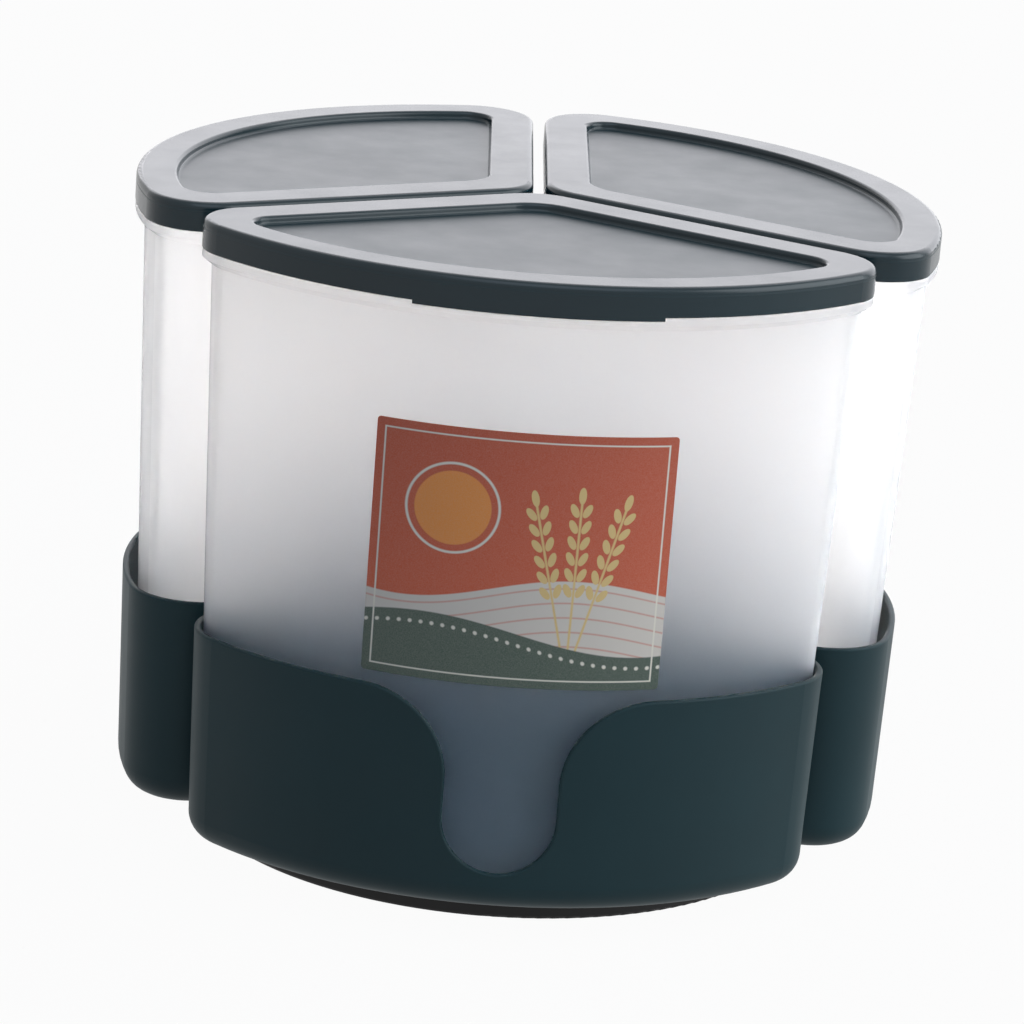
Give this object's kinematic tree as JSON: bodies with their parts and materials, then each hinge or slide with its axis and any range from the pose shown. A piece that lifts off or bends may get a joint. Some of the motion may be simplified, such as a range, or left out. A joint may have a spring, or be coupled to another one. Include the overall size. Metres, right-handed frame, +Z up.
{
  "type": "rice dispenser",
  "caption": "Rotating dry-grain keeper: lidded frosted sector canisters stand in a dark green cupped tray that spins on a low black turntable.",
  "frame": {"origin": "on the turning axis at the floor, under the turntable's feet", "axes": "+Z up along the turning axis, -Y towards the labelled front canister, +X to its right"},
  "size_m": [0.2328, 0.2314, 0.1918],
  "materials": {
    "turntable_black": "satin",
    "foot_rubber": "matte",
    "bushing_brass": "satin",
    "insert_brass": "satin",
    "washer_steel": "satin",
    "screw_steel": "satin",
    "cage_nylon": "matte",
    "ball_steel": "polished",
    "tray_green": "satin",
    "lid_green": "satin",
    "canister_frosted": "frosted",
    "seal_silicone": "matte",
    "label_paper": "matte"
  },
  "bodies": {
    "stand": {"turntable_base": "turntable_black", "rubber_feet": "foot_rubber", "hub_bushing": "bushing_brass", "pivot_washer": "washer_steel"},
    "ball_ring": {"bearing_cage": "cage_nylon", "bearing_balls": "ball_steel"},
    "tray": {"base_tray": "tray_green", "race_plate": "turntable_black", "plate_screws": "screw_steel", "hub_insert": "insert_brass", "pivot_screw": "screw_steel"},
    "front_canister": {"canister_front": "canister_frosted", "front_label": "label_paper"},
    "right_canister": {"canister_right": "canister_frosted"},
    "left_canister": {"canister_left": "canister_frosted"},
    "front_lid": {"lid_front": "lid_green", "lid_seal_front": "seal_silicone"},
    "right_lid": {"lid_right": "lid_green", "lid_seal_right": "seal_silicone"},
    "left_lid": {"lid_left": "lid_green", "lid_seal_left": "seal_silicone"}
  },
  "joints": [
    {"name": "tray_spin", "type": "hinge", "parent": "stand", "child": "tray", "pos_m": [0, 0, 0.0106], "axis": [0, 0, 1], "continuous": true},
    {"name": "ball_ring_spin", "type": "hinge", "parent": "stand", "child": "ball_ring", "pos_m": [0, 0, 0.0068], "axis": [0, 0, 1], "continuous": true},
    {"name": "front_canister_lift", "type": "slide", "parent": "tray", "child": "front_canister", "axis": [0, 0, 1], "range_m": [0, 0.1]},
    {"name": "right_canister_lift", "type": "slide", "parent": "tray", "child": "right_canister", "axis": [0, 0, 1], "range_m": [0, 0.1]},
    {"name": "left_canister_lift", "type": "slide", "parent": "tray", "child": "left_canister", "axis": [0, 0, 1], "range_m": [0, 0.1]},
    {"name": "front_lid_lift", "type": "slide", "parent": "front_canister", "child": "front_lid", "axis": [0, 0, 1], "range_m": [0, 0.12]},
    {"name": "right_lid_lift", "type": "slide", "parent": "right_canister", "child": "right_lid", "axis": [0, 0, 1], "range_m": [0, 0.12]},
    {"name": "left_lid_lift", "type": "slide", "parent": "left_canister", "child": "left_lid", "axis": [0, 0, 1], "range_m": [0, 0.12]}
  ],
  "couplings": [
    {"joint": "ball_ring_spin", "follows": "tray_spin", "ratio": 0.5}
  ]
}
